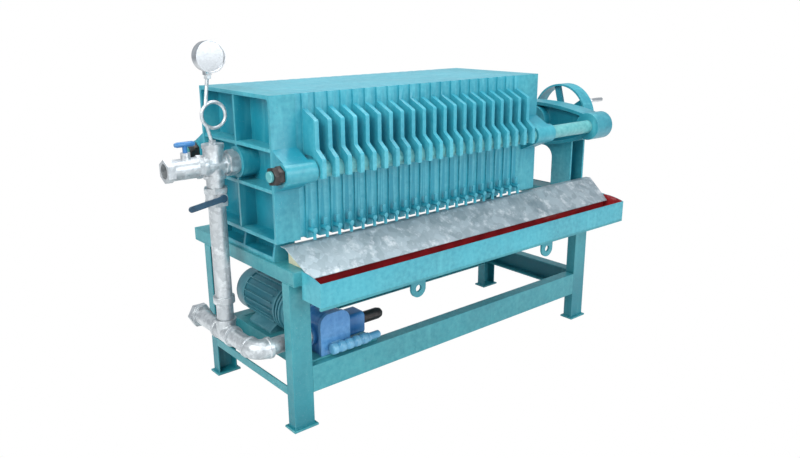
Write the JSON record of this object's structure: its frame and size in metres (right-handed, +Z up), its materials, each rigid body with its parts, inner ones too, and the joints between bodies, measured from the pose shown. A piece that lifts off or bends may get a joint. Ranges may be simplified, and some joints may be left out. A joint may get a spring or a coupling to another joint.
{
  "type": "plate filter press",
  "caption": "Plate and frame filter press on a welded table, closed by a handwheel screw, with feed pump, pressure gauge, chute and drip tray.",
  "frame": {"origin": "bottom centre of the bounding box, on the floor the feet stand on", "axes": "+X along the press from the fixed head to the handwheel, -Y to the front with the cocks and tray, +Z up"},
  "size_m": [2.198, 0.833, 1.3235],
  "materials": {
    "teal_paint": "glossy brushed enamel",
    "plate_paint": "glossy enamel on rough castings",
    "tie_rod_paint": "thin enamel worn by the plates",
    "tray_paint": "red primer inside, teal enamel outside",
    "cream_primer": "pale primer",
    "wheel_paint": "teal enamel on the rim, dark red primer on the spokes",
    "motor_paint": "satin machine enamel",
    "pump_paint": "gloss enamel",
    "handle_paint": "dark enamel",
    "galvanised": "hot dipped, mottled",
    "dark_steel": "blackened and oily",
    "oiled_steel": "turned and greased",
    "gauge_chrome": "bright case, white dial",
    "red_grip": "worn at the tip"
  },
  "bodies": {
    "press_frame": {"legs": "teal_paint", "rim_long_rails": "teal_paint", "rim_end_rails": "teal_paint", "cross_beams": "teal_paint", "lower_stretchers": "teal_paint", "pump_beams": "teal_paint", "pump_base_plate": "teal_paint", "tray": "tray_paint", "tray_rail": "teal_paint", "chute": "galvanised", "chute_brackets": "cream_primer", "head_plate": "teal_paint", "tie_rods": "tie_rod_paint", "rod_nuts": "dark_steel", "tail_yoke": "teal_paint", "yoke_posts": "teal_paint", "motor": "motor_paint", "motor_fan_cover": "motor_paint", "coupling_bell": "pump_paint", "gear_pump": "pump_paint", "relief_valve": "pump_paint", "suction_nipple": "dark_steel", "feed_pipes": "galvanised", "lower_tee": "galvanised", "lower_elbow": "galvanised", "drain_union": "galvanised", "riser_pipe": "galvanised", "ball_valve": "galvanised", "upper_cross": "galvanised", "head_union": "galvanised", "return_valve": "galvanised", "siphon": "galvanised", "pressure_gauge": "gauge_chrome"},
    "follower": {"follower_plate": "teal_paint"},
    "screw_and_wheel": {"press_screw": "oiled_steel", "handwheel": "wheel_paint", "handwheel_grip": "red_grip"},
    "inlet_lever": {"ball_valve_lever": "galvanised"},
    "return_handle": {"return_valve_handle": "handle_paint"},
    "plate_01": {"filter_plate_01": "plate_paint"},
    "plate_02": {"filter_plate_02": "plate_paint"},
    "plate_03": {"filter_plate_03": "plate_paint"},
    "plate_04": {"filter_plate_04": "plate_paint"},
    "plate_05": {"filter_plate_05": "plate_paint"},
    "plate_06": {"filter_plate_06": "plate_paint"},
    "plate_07": {"filter_plate_07": "plate_paint"},
    "plate_08": {"filter_plate_08": "plate_paint"},
    "plate_09": {"filter_plate_09": "plate_paint"},
    "plate_10": {"filter_plate_10": "plate_paint"},
    "plate_11": {"filter_plate_11": "plate_paint"},
    "plate_12": {"filter_plate_12": "plate_paint"},
    "plate_13": {"filter_plate_13": "plate_paint"},
    "plate_14": {"filter_plate_14": "plate_paint"},
    "plate_15": {"filter_plate_15": "plate_paint"},
    "plate_16": {"filter_plate_16": "plate_paint"},
    "plate_17": {"filter_plate_17": "plate_paint"},
    "plate_18": {"filter_plate_18": "plate_paint"},
    "plate_19": {"filter_plate_19": "plate_paint"},
    "plate_20": {"filter_plate_20": "plate_paint"},
    "plate_21": {"filter_plate_21": "plate_paint"}
  },
  "joints": [
    {"name": "handwheel_turn", "type": "hinge", "parent": "follower", "child": "screw_and_wheel", "pos_m": [0.921, 0.0315, 0.913], "axis": [1, 0, 0], "range_deg": [0, 8100]},
    {"name": "follower_slide", "type": "slide", "parent": "press_frame", "child": "follower", "axis": [1, 0, 0], "range_m": [0, 0.225]},
    {"name": "inlet_lever_turn", "type": "hinge", "parent": "press_frame", "child": "inlet_lever", "pos_m": [-0.923, -0.0185, 0.805], "axis": [0, 1, 0], "range_deg": [-81, 9]},
    {"name": "return_handle_turn", "type": "hinge", "parent": "press_frame", "child": "return_handle", "pos_m": [-1.022, 0.0315, 0.985], "axis": [0, 0, 1], "range_deg": [0, 90]},
    {"name": "plate_01_slide", "type": "slide", "parent": "press_frame", "child": "plate_01", "axis": [1, 0, 0], "range_m": [0, 0.01024]},
    {"name": "plate_02_slide", "type": "slide", "parent": "press_frame", "child": "plate_02", "axis": [1, 0, 0], "range_m": [0, 0.02046]},
    {"name": "plate_03_slide", "type": "slide", "parent": "press_frame", "child": "plate_03", "axis": [1, 0, 0], "range_m": [0, 0.03069]},
    {"name": "plate_04_slide", "type": "slide", "parent": "press_frame", "child": "plate_04", "axis": [1, 0, 0], "range_m": [0, 0.04092]},
    {"name": "plate_05_slide", "type": "slide", "parent": "press_frame", "child": "plate_05", "axis": [1, 0, 0], "range_m": [0, 0.05115]},
    {"name": "plate_06_slide", "type": "slide", "parent": "press_frame", "child": "plate_06", "axis": [1, 0, 0], "range_m": [0, 0.06137]},
    {"name": "plate_07_slide", "type": "slide", "parent": "press_frame", "child": "plate_07", "axis": [1, 0, 0], "range_m": [0, 0.0716]},
    {"name": "plate_08_slide", "type": "slide", "parent": "press_frame", "child": "plate_08", "axis": [1, 0, 0], "range_m": [0, 0.08183]},
    {"name": "plate_09_slide", "type": "slide", "parent": "press_frame", "child": "plate_09", "axis": [1, 0, 0], "range_m": [0, 0.09206]},
    {"name": "plate_10_slide", "type": "slide", "parent": "press_frame", "child": "plate_10", "axis": [1, 0, 0], "range_m": [0, 0.10228]},
    {"name": "plate_11_slide", "type": "slide", "parent": "press_frame", "child": "plate_11", "axis": [1, 0, 0], "range_m": [0, 0.11251]},
    {"name": "plate_12_slide", "type": "slide", "parent": "press_frame", "child": "plate_12", "axis": [1, 0, 0], "range_m": [0, 0.12274]},
    {"name": "plate_13_slide", "type": "slide", "parent": "press_frame", "child": "plate_13", "axis": [1, 0, 0], "range_m": [0, 0.13296]},
    {"name": "plate_14_slide", "type": "slide", "parent": "press_frame", "child": "plate_14", "axis": [1, 0, 0], "range_m": [0, 0.14319]},
    {"name": "plate_15_slide", "type": "slide", "parent": "press_frame", "child": "plate_15", "axis": [1, 0, 0], "range_m": [0, 0.15342]},
    {"name": "plate_16_slide", "type": "slide", "parent": "press_frame", "child": "plate_16", "axis": [1, 0, 0], "range_m": [0, 0.16365]},
    {"name": "plate_17_slide", "type": "slide", "parent": "press_frame", "child": "plate_17", "axis": [1, 0, 0], "range_m": [0, 0.17387]},
    {"name": "plate_18_slide", "type": "slide", "parent": "press_frame", "child": "plate_18", "axis": [1, 0, 0], "range_m": [0, 0.1841]},
    {"name": "plate_19_slide", "type": "slide", "parent": "press_frame", "child": "plate_19", "axis": [1, 0, 0], "range_m": [0, 0.19433]},
    {"name": "plate_20_slide", "type": "slide", "parent": "press_frame", "child": "plate_20", "axis": [1, 0, 0], "range_m": [0, 0.20456]},
    {"name": "plate_21_slide", "type": "slide", "parent": "press_frame", "child": "plate_21", "axis": [1, 0, 0], "range_m": [0, 0.21478]}
  ],
  "couplings": [
    {"joint": "follower_slide", "follows": "handwheel_turn", "m_per_rad": 0.0015915},
    {"joint": "plate_01_slide", "follows": "handwheel_turn", "m_per_rad": 0.00007234},
    {"joint": "plate_02_slide", "follows": "handwheel_turn", "m_per_rad": 0.00014468},
    {"joint": "plate_03_slide", "follows": "handwheel_turn", "m_per_rad": 0.00021702},
    {"joint": "plate_04_slide", "follows": "handwheel_turn", "m_per_rad": 0.00028936},
    {"joint": "plate_05_slide", "follows": "handwheel_turn", "m_per_rad": 0.0003617},
    {"joint": "plate_06_slide", "follows": "handwheel_turn", "m_per_rad": 0.00043404},
    {"joint": "plate_07_slide", "follows": "handwheel_turn", "m_per_rad": 0.00050638},
    {"joint": "plate_08_slide", "follows": "handwheel_turn", "m_per_rad": 0.00057872},
    {"joint": "plate_09_slide", "follows": "handwheel_turn", "m_per_rad": 0.00065106},
    {"joint": "plate_10_slide", "follows": "handwheel_turn", "m_per_rad": 0.0007234},
    {"joint": "plate_11_slide", "follows": "handwheel_turn", "m_per_rad": 0.00079575},
    {"joint": "plate_12_slide", "follows": "handwheel_turn", "m_per_rad": 0.00086809},
    {"joint": "plate_13_slide", "follows": "handwheel_turn", "m_per_rad": 0.00094043},
    {"joint": "plate_14_slide", "follows": "handwheel_turn", "m_per_rad": 0.0010128},
    {"joint": "plate_15_slide", "follows": "handwheel_turn", "m_per_rad": 0.0010851},
    {"joint": "plate_16_slide", "follows": "handwheel_turn", "m_per_rad": 0.0011574},
    {"joint": "plate_17_slide", "follows": "handwheel_turn", "m_per_rad": 0.0012298},
    {"joint": "plate_18_slide", "follows": "handwheel_turn", "m_per_rad": 0.0013021},
    {"joint": "plate_19_slide", "follows": "handwheel_turn", "m_per_rad": 0.0013745},
    {"joint": "plate_20_slide", "follows": "handwheel_turn", "m_per_rad": 0.0014468},
    {"joint": "plate_21_slide", "follows": "handwheel_turn", "m_per_rad": 0.0015191}
  ]
}
